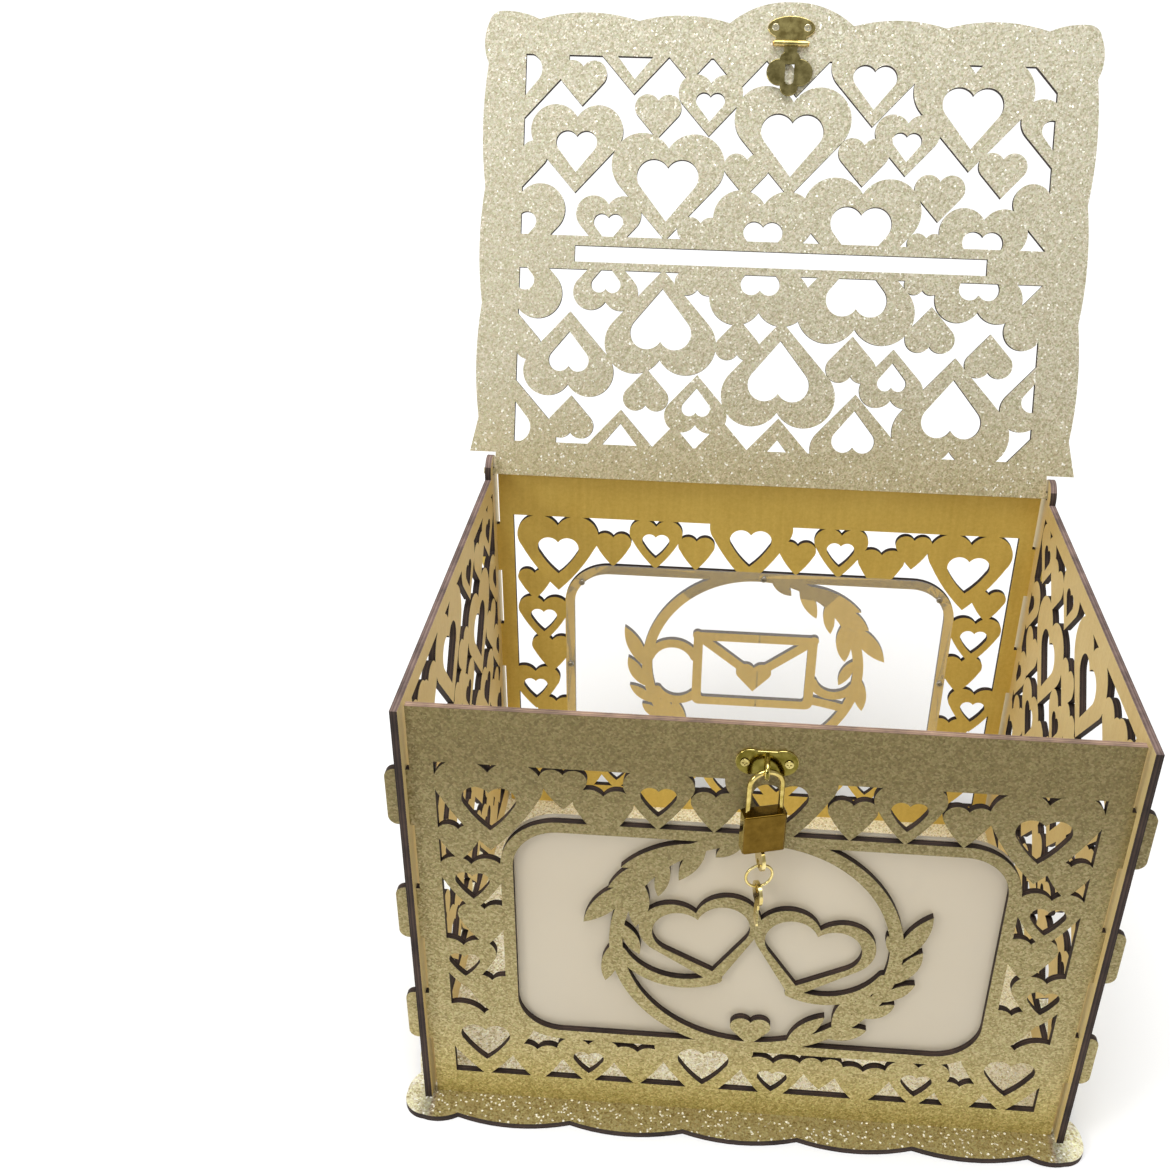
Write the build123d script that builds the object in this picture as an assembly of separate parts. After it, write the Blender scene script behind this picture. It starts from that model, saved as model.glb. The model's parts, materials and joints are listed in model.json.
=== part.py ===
from build123d import *
import math
import os

# Wedding card box: a laser-cut plywood chest with a tilting lid, two acrylic
# panes and small brass hardware.  Millimetres, +Z up.  The origin is the centre
# of the base plate's underside; the front of the box faces -Y.

# ---------------------------------------------------------------- driving sizes
PLY = 3.0                    # thickness of every plywood sheet
KERF = 0.05                  # play on each side of a tab in its slot
BODY_WIDTH = 280.0           # outer faces of the side walls
BODY_DEPTH = 220.0           # side walls, front edge to back edge
WALL_HEIGHT = 208.45         # side and front walls above the base plate
BASE_WIDTH = 297.0
BASE_DEPTH = 242.0
WALL_RECESS = 4.0            # front and back walls, in from the side walls' edges
REST_ANGLE = 113.4           # how far the lid stands open

PIVOT_BACK = 9.35            # pivot axis, in front of the side walls' back edges
PIVOT_ABOVE_WALL = 1.6       # pivot axis, above the side walls' top edges
PEG = 3.0                    # square section of the lid's pivot pegs
PIVOT_HOLE = 2.2             # radius of the round holes that the pegs turn in
EAR_RADIUS = 8.0             # rounded ear of the side wall around the pivot

LID_LATTICE_HALF_WIDTH = 127.0
PANE_THICKNESS = 2.0
BRASS_SHEET = 0.9

# Places worked out from the sizes above
WALL_FOOT = PLY                                  # walls stand on the base plate
FRONT_EDGE = -BODY_DEPTH / 2
FRONT_FACE = FRONT_EDGE + WALL_RECESS
BACK_FACE = -FRONT_EDGE - WALL_RECESS
SIDE_INNER = BODY_WIDTH / 2 - PLY
PIVOT_Y = BODY_DEPTH / 2 - PIVOT_BACK
PIVOT_Z = WALL_FOOT + WALL_HEIGHT + PIVOT_ABOVE_WALL
PIVOT_AXIS = Axis((0, PIVOT_Y, PIVOT_Z), (1, 0, 0))
LID_UNDERSIDE = PIVOT_Z - PLY / 2

# ---------------------------------------------------------------- heart lattice
HEART_ASPECT = 0.92          # height of a heart over its width
LOBE_SHARE = 0.27            # radius of a lobe over the heart's width
HOLE_ASPECT = 0.98
HOLE_CENTRE = 0.47           # height of the hole's middle over the heart's height
SMALLEST_CUT = 4.0           # area in square millimetres below which nothing is cut
WALL_HEART_ASPECT = 1.03     # the front and back walls' hearts are taller, with round sides
WALL_HEART_BULGE = 0.03      # bulge of a side over the heart's width


def heart(x, tip, width, height=None, bulge=0.0):
    """Heart standing on its point at (x, tip): straight or bulging sides, two round lobes."""
    tall = height or HEART_ASPECT * width
    lobe = LOBE_SHARE * width
    cx = width / 2 - lobe
    cy = tall - lobe
    reach = math.hypot(cx, cy)
    side = math.atan2(cy, cx) - math.asin(lobe / reach)
    run = math.sqrt(reach**2 - lobe**2)
    tangent = (run * math.cos(side), run * math.sin(side))
    notch = (0, cy + math.sqrt(lobe**2 - cx**2))
    turn_from = math.atan2(tangent[1] - cy, tangent[0] - cx)
    turn_to = math.atan2(notch[1] - cy, notch[0] - cx)
    middle = (turn_from + turn_to) / 2
    crest = (cx + lobe * math.cos(middle), cy + lobe * math.sin(middle))
    right = [ThreePointArc(tangent, crest, notch)]
    left = [ThreePointArc(notch, (-crest[0], crest[1]), (-tangent[0], tangent[1]))]
    if bulge:
        out = bulge * width
        belly = (
            tangent[0] / 2 + out * math.sin(side),
            tangent[1] / 2 - out * math.cos(side),
        )
        right.insert(0, ThreePointArc((0, 0), belly, tangent))
        left.append(ThreePointArc((-tangent[0], tangent[1]), (-belly[0], belly[1]), (0, 0)))
    else:
        right.insert(0, Line((0, 0), tangent))
        left.append(Line((-tangent[0], tangent[1]), (0, 0)))
    return Pos(x, tip) * make_face(right + left)


def heart_hole(x, tip, width, hole, aspect, bulge):
    """Heart-shaped hole in the middle of the heart that stands at (x, tip)."""
    tall = HOLE_ASPECT * hole
    middle = tip + HOLE_CENTRE * aspect * width
    return heart(x, middle - tall / 2, hole, tall, bulge)


def lattice_openings(field, hearts, aspect=HEART_ASPECT, bulge=0.0):
    """The pierced parts of a field that is filled with hearts: (x, tip, width, hole)."""
    solid = [heart(x, tip, width, aspect * width, bulge) for x, tip, width, hole in hearts]
    holes = [heart_hole(*one, aspect, bulge) & field for one in hearts if one[3]]
    gaps = [gap for gap in (field - solid).faces() if gap.area > SMALLEST_CUT]
    return gaps[0] + gaps[1:] + holes


# Hearts as (x, height of the point, width, width of the hole; 0 is a solid heart)
LID_HEARTS = [
    (-101, 138.5, 45, 20), (-56, 117, 55, 30), (3, 139.5, 56, 30), (88, 154, 57, 29),
    (-74, 185.5, 50, 30), (4, 186.5, 52, 24), (-99, 179.5, 23, 0), (-133, 166.5, 54, 28),
    (-62, 165, 22.5, 0), (-37, 167, 31, 14), (41, 173.5, 42, 21), (58, 151, 31, 14),
    (37.8, 145.5, 24.5, 0), (-18, 139, 22, 0), (38.5, 97, 57, 29.5), (-8.5, 97, 49, 19),
    (-84, 108, 32, 14.5), (-128, 101, 45, 17), (-39, 108, 22.5, 0), (75, 130, 24, 0),
    (97, 98.5, 42, 19.5), (104, 142, 23, 0), (130, 153.5, 38, 18), (127, 118, 34, 0),
    (70, 108, 18, 0), (-127, 140.5, 24, 0), (132, 186, 46, 0), (-47.5, 192, 22, 0),
    (-23.5, 189, 44, 0), (64, 190, 20, 0),
]

# Front and back walls: the same frame of hearts around a rounded window
FRAME_HEARTS = [
    (-39.9, 157, 27.3, 14), (-18.2, 157.3, 18.8, 0), (6, 151, 42.3, 21.3),
    (33.6, 157.3, 18.8, 0), (54.6, 157, 27.3, 14), (76.6, 157.3, 18.8, 0),
    (-61, 150.3, 23.5, 0), (-76.5, 164, 18.4, 0), (-67.2, 11.2, 27.3, 13.3),
    (-46, 12.5, 23, 0), (-17.5, 6.3, 42.3, 22), (12.5, 8, 27, 13), (33, 18.3, 18.5, 0),
    (51, 9.8, 23.5, 0), (74, 11.3, 27.3, 13.3), (-89.5, 10.5, 22.3, 0), (92.5, 7.5, 20.5, 0),
]
COLUMN_HEARTS = [
    (105.3, 141.6, 42.3, 21.3), (118, 135.3, 17.6, 0), (113.6, 109.3, 27, 14),
    (109.4, 90.2, 22.2, 0), (119, 65.2, 27, 13), (107.8, 50.8, 21.8, 0), (112, 12.3, 42.3, 21.3),
]

# Side walls: x runs from the front edge to the back edge
SIDE_HEARTS = [
    (91, 150.5, 56, 28), (157, 123, 56, 28), (138.5, 176.5, 31, 13), (189, 172.5, 31, 12.5),
    (123.5, 119.5, 31, 13), (168.5, 88.5, 38, 18), (46, 128, 44, 20), (49, 165, 31, 0),
    (30, 169, 30, 12), (118.5, 147, 24.5, 0), (164.5, 171.5, 26, 0), (186, 120.5, 27, 0),
    (203, 138, 34, 13), (203, 97.5, 33, 12), (187, 79, 26, 0), (201, 58, 40, 18),
    (104, 135, 22, 0), (136, 92, 30, 0), (72, 124, 30, 13), (88, 128, 24, 0),
    (30, 106, 28, 12), (50, 104, 26, 0), (98, 83, 50, 25), (76, 108, 22, 0),
    (66, 72, 40, 18), (31, 73, 44, 20), (140, 54, 48, 22), (174, 54, 34, 15),
    (114, 60, 22, 0), (88, 48, 28, 12), (44, 46, 30, 13), (121, 102, 24, 0),
    (116, 22, 40, 18), (66, 18, 44, 20), (30, 12, 40, 18), (92, 12, 28, 0),
    (150, 12, 42, 20), (186, 18, 46, 22), (204, 44, 24, 0), (170, 8, 26, 0),
    (207, 10, 26, 0), (160, 40, 22, 0), (28, 142, 26, 0), (150, 100, 22, 0),
]

# ---------------------------------------------------------------- wreath window
WINDOW_HALF_WIDTH = 97.0
WINDOW_LOW = 43.5
WINDOW_HIGH = 152.5
WINDOW_CORNER = 18.5
BAND = 5.0                   # width of the plain band around the window
FRONT_LATTICE_HALF_WIDTH = 126.0
FRONT_LATTICE_HIGH = 183.5
BACK_LATTICE_HALF_WIDTH = 128.2
BACK_LATTICE_HIGH = 184.8
WALL_LATTICE_LOW = 13.8
SIDE_LATTICE_LOW = 13.5
SIDE_LATTICE_HIGH = 200.0
SIDE_LATTICE_FRONT = 22.0
SIDE_LATTICE_BACK = 205.0

WREATH_CENTRE = (1.0, 98.5)
WREATH_OUTER = 59.5
WREATH_INNER = 54.0
STROKE = 5.0                 # stroke of the ornament inside the wreath
LEAVES = [                   # (base, tip, width)
    ((-20, 151), (-54, 137), 9), ((-37, 142), (-59, 126), 8), ((-50, 129), (-69, 107), 9),
    ((-21, 152), (-31, 132), 7), ((-36, 142), (-39, 123), 6), ((-45, 129), (-48, 106), 8),
    ((-53, 107), (-46, 91), 6), ((-56, 97), (-60, 75), 7), ((-6, 155), (-17, 145), 6),
    ((58, 96), (70, 121), 8), ((59, 98), (53, 110), 5), ((59, 84), (68, 102), 7),
    ((53, 73), (67, 84), 6), ((49, 63), (60, 72), 6), ((36, 54), (43, 77), 7),
    ((17, 45), (32, 62), 7), ((34, 50), (50, 56), 7), ((44, 62), (49, 79), 6),
]


def upright_rectangle(left, low, right, high, corner=0.0):
    """Rectangle between two corners, with rounded corners if asked."""
    place = Pos((left + right) / 2, (low + high) / 2)
    if corner:
        return place * RectangleRounded(right - left, high - low, corner)
    return place * Rectangle(right - left, high - low)


def leaf(base, tip, width):
    """Pointed leaf between its base and its tip."""
    length = math.dist(base, tip)
    sides = [
        ThreePointArc((0, 0), (length / 2, width / 2), (length, 0)),
        ThreePointArc((length, 0), (length / 2, -width / 2), (0, 0)),
    ]
    turn = math.degrees(math.atan2(tip[1] - base[1], tip[0] - base[0]))
    return Pos(*base) * Rot(0, 0, turn) * make_face(sides)


def open_heart(x, tip, width, tilt):
    """Heart drawn as one even stroke, leaning to one side."""
    slope = 1.48 * STROKE
    tall = HEART_ASPECT * width
    inner = heart(0, slope, width - 2 * STROKE, tall - STROKE - slope)
    return Pos(x, tip) * Rot(0, 0, tilt) * (heart(0, 0, width) - inner)


def swash(*points):
    """Curved stroke through three points."""
    return SlotArc(ThreePointArc(*points), STROKE)


def hearts_ornament():
    """Two interlocked open hearts on swashes that run out to the wreath."""
    return [
        open_heart(-14, 77, 50, 14),
        open_heart(17, 72, 50, -14),
        swash((-54, 92), (-38, 78), (-14, 80)),
        swash((17, 75), (38, 73), (54, 86)),
        heart(1.5, 42.5, 17),
    ]


def envelope_ornament():
    """Open-work envelope with a heart for its seal, on swashes to the wreath."""
    half_width = 33.0
    low = 74.0
    high = 120.0
    fold = 94.0
    frame = upright_rectangle(-half_width, low, half_width, high, 4.0)
    inside = upright_rectangle(
        -half_width + STROKE, low + STROKE, half_width - STROKE, high - STROKE, 1.5
    )
    flap_edge = [(-half_width + 2, high - 2), (0, fold), (half_width - 2, high - 2)]
    flap_lines = [
        SlotCenterToCenter(math.dist(a, b), STROKE) for a, b in zip(flap_edge, flap_edge[1:])
    ]
    placed = []
    for line, a, b in zip(flap_lines, flap_edge, flap_edge[1:]):
        turn = math.degrees(math.atan2(b[1] - a[1], b[0] - a[0]))
        placed.append(Pos((a[0] + b[0]) / 2, (a[1] + b[1]) / 2) * Rot(0, 0, turn) * line)
    return [
        frame - inside,
        *placed,
        heart(0, 84, 19),
        swash((-54, 90), (-43, 84), (-32, 92)),
        swash((32, 104), (44, 112), (55, 106)),
        swash((-50, 76), (-42, 78), (-32, 80)),
        swash((32, 80), (42, 76), (52, 82)),
    ]


def wreath_window_openings(ornament):
    """What is cut out of the rounded window around the wreath and its ornament."""
    window = upright_rectangle(
        -WINDOW_HALF_WIDTH, WINDOW_LOW, WINDOW_HALF_WIDTH, WINDOW_HIGH, WINDOW_CORNER
    )
    ring = Pos(*WREATH_CENTRE) * (Circle(WREATH_OUTER) - Circle(WREATH_INNER))
    return window - ([ring] + [leaf(*one) for one in LEAVES] + ornament)


def frame_openings(half_width, high):
    """Heart lattice between the wall's rectangular field and the window's band."""
    field = upright_rectangle(-half_width, WALL_LATTICE_LOW, half_width, high)
    band = upright_rectangle(
        -WINDOW_HALF_WIDTH - BAND,
        WINDOW_LOW - BAND,
        WINDOW_HALF_WIDTH + BAND,
        WINDOW_HIGH + BAND,
        WINDOW_CORNER + BAND,
    )
    mirrored = [(-x, tip, width, hole) for x, tip, width, hole in COLUMN_HEARTS]
    hearts = FRAME_HEARTS + COLUMN_HEARTS + mirrored
    return lattice_openings(field - band, hearts, WALL_HEART_ASPECT, WALL_HEART_BULGE)


# ---------------------------------------------------------------- walls
TAB_HEIGHT = 27.0
TAB_CENTRES = (46.9, 105.6, 165.4)   # middles of the side tabs, above the base plate
TAB_REACH = 5.5              # how far a tab stands out of the side wall
TAB_CORNER = 4.0
EDGE_GAP = 1.7               # wall edge to side wall, between the tabs
FOOT_TAB_WIDTH = 24.0
FOOT_TAB_CENTRES = (-64.0, 64.0)
SIDE_FOOT_CENTRES = (60.0, 160.0)    # from the side wall's front edge


def standing(face, y):
    """Stand a drawn face up as a plywood sheet whose front lies at y."""
    return Pos(0, y + PLY, WALL_FOOT) * Rot(90, 0, 0) * extrude(face, PLY)


def cross_wall_outline(top):
    """Front or back wall: a plain board with three tabs on each side and two below."""
    half = SIDE_INNER - EDGE_GAP
    reach = BODY_WIDTH / 2 + TAB_REACH
    board = upright_rectangle(-half, 0, half, top)
    tabs = [
        upright_rectangle(
            -reach, centre - TAB_HEIGHT / 2, reach, centre + TAB_HEIGHT / 2, TAB_CORNER
        )
        for centre in TAB_CENTRES
    ]
    feet = [
        upright_rectangle(x - FOOT_TAB_WIDTH / 2, -PLY, x + FOOT_TAB_WIDTH / 2, 1)
        for x in FOOT_TAB_CENTRES
    ]
    return board + tabs + feet


PANE_HALF_WIDTH = 101.3
PANE_LOW = 38.3
PANE_HIGH = 157.9
PANE_CORNER = 23.0
PANE_SCREW_RADIUS = 0.9
PANE_SCREW_HEAD = 1.6
PANE_SCREW_INTO_WALL = 2.4
PANE_SCREW_PLACES = [
    (-92.7, 148.2), (92.7, 148.2), (-92.7, 47.8), (92.7, 47.8),
    (2.0, 155.2), (2.0, 41.0), (-99.2, 97.0), (99.2, 97.0),
]


FROM_FOOT = (Align.CENTER, Align.CENTER, Align.MIN)
FROM_TOP = (Align.CENTER, Align.CENTER, Align.MAX)


def screw_holes(y, depth):
    """Holes for the pane screws, depth long from y towards +Y."""
    radius = PANE_SCREW_RADIUS + KERF
    return [
        Pos(x, y, WALL_FOOT + z) * Rot(-90, 0, 0) * Cylinder(radius, depth, align=FROM_FOOT)
        for x, z in PANE_SCREW_PLACES
    ]


def front_wall():
    frame = frame_openings(FRONT_LATTICE_HALF_WIDTH, FRONT_LATTICE_HIGH)
    cut = frame + wreath_window_openings(hearts_ornament())
    sheet = standing(cross_wall_outline(WALL_HEIGHT) - cut, FRONT_FACE)
    inner = FRONT_FACE + PLY
    blind = screw_holes(inner - PANE_SCREW_INTO_WALL - KERF, PLY)
    return sheet - blind - staple_screw_holes()


def back_wall():
    top = WALL_HEIGHT + PIVOT_ABOVE_WALL + PLY / 2
    frame = frame_openings(BACK_LATTICE_HALF_WIDTH, BACK_LATTICE_HIGH)
    cut = frame + wreath_window_openings(envelope_ornament())
    face = mirror(cross_wall_outline(top) - cut, Plane.YZ)
    sheet = standing(face, BACK_FACE - PLY)
    return sheet - screw_holes(BACK_FACE - PLY - 1, PANE_SCREW_INTO_WALL + KERF + 1)


def side_wall_outline():
    """Side wall drawn with x from its front edge: an ear at the top carries the pivot."""
    pivot = (BODY_DEPTH - PIVOT_BACK, WALL_HEIGHT + PIVOT_ABOVE_WALL)
    board = upright_rectangle(0, 0, BODY_DEPTH, WALL_HEIGHT)
    ear = Pos(*pivot) * Circle(EAR_RADIUS)
    neck = upright_rectangle(
        pivot[0] - EAR_RADIUS, WALL_HEIGHT - EAR_RADIUS, pivot[0] + EAR_RADIUS, pivot[1]
    )
    feet = [
        upright_rectangle(x - FOOT_TAB_WIDTH / 2, -PLY, x + FOOT_TAB_WIDTH / 2, 1)
        for x in SIDE_FOOT_CENTRES
    ]
    slots = [
        upright_rectangle(
            edge - KERF,
            centre - TAB_HEIGHT / 2 - KERF,
            edge + PLY + KERF,
            centre + TAB_HEIGHT / 2 + KERF,
        )
        for centre in TAB_CENTRES
        for edge in (WALL_RECESS, BODY_DEPTH - WALL_RECESS - PLY)
    ]
    field = upright_rectangle(
        SIDE_LATTICE_FRONT, SIDE_LATTICE_LOW, SIDE_LATTICE_BACK, SIDE_LATTICE_HIGH
    )
    solid = board + [neck, ear] + feet
    holes = slots + [Pos(*pivot) * Circle(PIVOT_HOLE)]
    return solid - holes - lattice_openings(field, SIDE_HEARTS)


def side_wall(x):
    """Side wall whose left face lies at x."""
    sheet = extrude(side_wall_outline(), PLY)
    return Pos(x, FRONT_EDGE, WALL_FOOT) * Rot(0, 0, 90) * Rot(90, 0, 0) * sheet


def pane(y):
    """Acrylic pane with rounded corners whose front face lies at y."""
    face = upright_rectangle(
        -PANE_HALF_WIDTH, PANE_LOW, PANE_HALF_WIDTH, PANE_HIGH, PANE_CORNER
    )
    sheet = Pos(0, y + PANE_THICKNESS, WALL_FOOT) * Rot(90, 0, 0) * extrude(face, PANE_THICKNESS)
    return sheet - screw_holes(y - 1, PANE_THICKNESS + 2)


def screw(shank_radius, shank_length, head_radius, head_height):
    """Cross-head screw along Z: its head's underside is at z = 0, its shank below."""
    head = Cylinder(head_radius, head_height, align=FROM_FOOT)
    rim = head.edges().filter_by(GeomType.CIRCLE).sort_by(Axis.Z)[-1]
    head = fillet(rim, head_height * 0.45)
    shank = Pos(0, 0, -shank_length) * Cylinder(shank_radius, shank_length, align=FROM_FOOT)
    slot = Box(head_radius * 1.2, head_radius * 0.25, head_height)
    cross = Pos(0, 0, head_height) * (slot + Rot(0, 0, 90) * slot)
    return head + shank - cross


def pane_screws(head_side, outward):
    """Eight screws through a pane: outward is +1 where their heads face +Y."""
    length = PANE_THICKNESS + PANE_SCREW_INTO_WALL
    one = screw(PANE_SCREW_RADIUS, length, PANE_SCREW_HEAD, 1.2)
    turn = Rot(-90, 0, 0) if outward > 0 else Rot(90, 0, 0)
    return Compound([
        (Pos(x, head_side, WALL_FOOT + z) * turn * one).solid() for x, z in PANE_SCREW_PLACES
    ])


# ---------------------------------------------------------------- base plate
BASE_LOBES_FRONT = 5
BASE_LOBES_SIDE = 4
BASE_LOBE_WIDTH = 49.6
BASE_SIDE_LOBE = 48.5
LOBE_RISE = 3.7              # how far a lobe swells out from its cusps


def scallops(start, end, count, rise):
    """Row of equal round lobes from start to end, swelling to the right of the way."""
    lines = []
    step = ((end[0] - start[0]) / count, (end[1] - start[1]) / count)
    length = math.hypot(*step)
    bulge = (step[1] / length * rise, -step[0] / length * rise)
    for index in range(count):
        a = (start[0] + index * step[0], start[1] + index * step[1])
        b = (a[0] + step[0], a[1] + step[1])
        crest = ((a[0] + b[0]) / 2 + bulge[0], (a[1] + b[1]) / 2 + bulge[1])
        lines.append(ThreePointArc(a, crest, b))
    return lines


def base_corner(sign_x, sign_y):
    """Corner lobe, from the last front or back cusp round to the first side cusp."""
    cusp_x = BASE_LOBES_FRONT * BASE_LOBE_WIDTH / 2
    cusp_y = BASE_LOBES_SIDE * BASE_SIDE_LOBE / 2
    edge_x = BASE_WIDTH / 2
    edge_y = BASE_DEPTH / 2
    round_x = edge_x - 9
    round_y = edge_y - 1.5
    points = [
        (cusp_x, edge_y - LOBE_RISE), (cusp_x + 8, edge_y - 0.8), (round_x, round_y),
        (edge_x - 2.2, edge_y - 5), (edge_x, edge_y - 13),
        (edge_x - 0.8, cusp_y + 5), (edge_x - LOBE_RISE, cusp_y),
    ]
    placed = [(sign_x * x, sign_y * y) for x, y in points]
    if sign_x * sign_y < 0:
        placed.reverse()
    return [
        ThreePointArc(*placed[0:3]), ThreePointArc(*placed[2:5]), ThreePointArc(*placed[4:7])
    ]


def base_plate():
    cusp_x = BASE_LOBES_FRONT * BASE_LOBE_WIDTH / 2
    cusp_y = BASE_LOBES_SIDE * BASE_SIDE_LOBE / 2
    low = -BASE_DEPTH / 2 + LOBE_RISE
    side = BASE_WIDTH / 2 - LOBE_RISE
    outline = scallops((-cusp_x, low), (cusp_x, low), BASE_LOBES_FRONT, LOBE_RISE)
    outline += base_corner(1, -1)
    outline += scallops((side, -cusp_y), (side, cusp_y), BASE_LOBES_SIDE, LOBE_RISE)
    outline += base_corner(1, 1)
    outline += scallops((cusp_x, -low), (-cusp_x, -low), BASE_LOBES_FRONT, LOBE_RISE)
    outline += base_corner(-1, 1)
    outline += scallops((-side, cusp_y), (-side, -cusp_y), BASE_LOBES_SIDE, LOBE_RISE)
    outline += base_corner(-1, -1)
    plate = extrude(make_face(outline), PLY)
    half = FOOT_TAB_WIDTH / 2 + KERF
    slots = []
    for y in (FRONT_FACE + PLY / 2, BACK_FACE - PLY / 2):
        for x in FOOT_TAB_CENTRES:
            slots.append(Pos(x, y, PLY / 2) * Box(2 * half, PLY + 2 * KERF, 2 * PLY))
    for x in (-SIDE_INNER - PLY / 2, SIDE_INNER + PLY / 2):
        for along in SIDE_FOOT_CENTRES:
            place = Pos(x, FRONT_EDGE + along, PLY / 2)
            slots.append(place * Box(PLY + 2 * KERF, 2 * half, 2 * PLY))
    return plate - slots


# ---------------------------------------------------------------- lid
# The lid is drawn flat as its underside is seen: x across, y up the panel from
# its tongue's edge, z out of the underside.  The pivot axis crosses it half a
# sheet above that edge.
LID_AXIS_UP = PLY / 2
TONGUE_HALF_WIDTH = 136.0
TONGUE_HEIGHT = 11.0
LID_FIELDS = ((15.6, 102.0), (118.0, 203.0))
LID_MIRROR = 110.0           # the lower field mirrors the upper one about this height
SLOT_HALF_LENGTH = 100.0
SLOT_LOW = 105.6
SLOT_HIGH = 113.4
PEG_REACH = 141.6            # end of the pivot pegs, from the middle of the box


def lid_outline():
    """Scalloped panel: tongue, shoulders, waved sides and a central hump."""
    right = [
        Line((0, 0), (TONGUE_HALF_WIDTH, 0)),
        Line((TONGUE_HALF_WIDTH, 0), (TONGUE_HALF_WIDTH, TONGUE_HEIGHT)),
        Line((TONGUE_HALF_WIDTH, TONGUE_HEIGHT), (149, TONGUE_HEIGHT)),
        Line((149, TONGUE_HEIGHT), (145.2, 28)),
        ThreePointArc((145.2, 28), (147.2, 56), (145.2, 84)),
        ThreePointArc((145.2, 84), (147.2, 112), (145.2, 140)),
        ThreePointArc((145.2, 140), (147.2, 169), (145.2, 198)),
        ThreePointArc((145.2, 198), (147.4, 208), (145.5, 217)),
        ThreePointArc((145.5, 217), (143.2, 221), (139, 222.6)),
        ThreePointArc((139, 222.6), (130, 222.0), (121, 219.2)),
        ThreePointArc((121, 219.2), (97, 222.8), (73, 219.4)),
        ThreePointArc((73, 219.4), (51, 222.4), (29.5, 219.4)),
        ThreePointArc((29.5, 219.4), (16.5, 227.0), (0, 229.6)),
    ]
    left = [mirror(line, Plane.YZ) for line in reversed(right)]
    return make_face(right + left)


def lid_panel_flat():
    """Lid with its underside on z = 0 and its top below, before it is hinged."""
    upper = upright_rectangle(
        -LID_LATTICE_HALF_WIDTH, LID_FIELDS[1][0], LID_LATTICE_HALF_WIDTH, LID_FIELDS[1][1]
    )
    pierced = lattice_openings(upper, LID_HEARTS)
    lower = Pos(0, 2 * LID_MIRROR) * mirror(pierced, Plane.XZ)
    slot = upright_rectangle(-SLOT_HALF_LENGTH, SLOT_LOW, SLOT_HALF_LENGTH, SLOT_HIGH)
    panel = extrude(lid_outline() - [pierced, lower, slot], -PLY)
    pegs = [
        Pos(side * (TONGUE_HALF_WIDTH + PEG_REACH - 1) / 2, PEG / 2, -PLY / 2)
        * Box(PEG_REACH - TONGUE_HALF_WIDTH + 1, PEG, PEG)
        for side in (-1, 1)
    ]
    return panel + pegs


def on_lid(shape):
    """Carry a shape from the flat lid drawing to the closed lid, then open the lid."""
    closed = Pos(0, PIVOT_Y + LID_AXIS_UP, LID_UNDERSIDE) * Rot(180, 0, 0) * shape
    return closed.rotate(PIVOT_AXIS, -REST_ANGLE)


# Hasp, on the lid's underside (z above 0 in the flat drawing)
HASP_X = 0.0
KNUCKLE_UP = 210.2           # height of the hasp's pin up the lid
KNUCKLE_RADIUS = 1.45
KNUCKLE_PROUD = 1.8          # hasp pin's axis, out from the lid's underside
HASP_PIN_RADIUS = 0.7
PIN_PLAY = 0.05
LEAF_WIDTH = 22.6
LEAF_HEIGHT = 11.0
LEAF_UP = 217.7
LEAF_SCREW_X = 7.6
LEAF_FOOT_HALF = 7.3          # half the leaf's width where it meets its knuckles
FLAP_KNUCKLE_HALF = 3.1
KNUCKLE_HALF = 8.0
KNUCKLE_GAP = 0.1
FLAP_CENTRE_DOWN = 13.2      # middle of the quatrefoil, below the hasp's pin
FLAP_LOBES = [               # lobes about that middle: (across, up, radius)
    (4.8, 0, 6.2), (-4.8, 0, 6.2), (0, 5.0, 5.2), (0, -6.6, 4.3),
]
HASP_SLOT_WIDTH = 4.3
HASP_SLOT_LENGTH = 9.4
SMALL_SCREW = 0.8
SMALL_SCREW_HEAD = 1.75
SMALL_SCREW_INTO = 2.3
SMALL_SCREW_RISE = 0.7
SHEET_ROUND = 0.35           # rounding of the stamped brass edges


def knuckle(x_from, x_to):
    """Hinge knuckle of the hasp between two places across the lid."""
    place = Pos(x_from, KNUCKLE_UP, KNUCKLE_PROUD) * Rot(0, 90, 0)
    tube = Cylinder(KNUCKLE_RADIUS, x_to - x_from, align=FROM_FOOT)
    bore = Cylinder(HASP_PIN_RADIUS + PIN_PLAY, x_to - x_from, align=FROM_FOOT)
    return place * (tube - bore)


def rounded_sheet(face):
    """Stamped brass sheet on z = 0 with the rim of its upper face rounded."""
    sheet = extrude(face, BRASS_SHEET)
    rim = sheet.faces().sort_by(Axis.Z)[-1].outer_wire().edges()
    return fillet(rim, SHEET_ROUND)


def pin_bore():
    """Clear way for the hasp's pin through the sheets."""
    place = Pos(-KNUCKLE_HALF, KNUCKLE_UP, KNUCKLE_PROUD) * Rot(0, 90, 0)
    return place * Cylinder(HASP_PIN_RADIUS + PIN_PLAY, 2 * KNUCKLE_HALF, align=FROM_FOOT)


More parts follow.
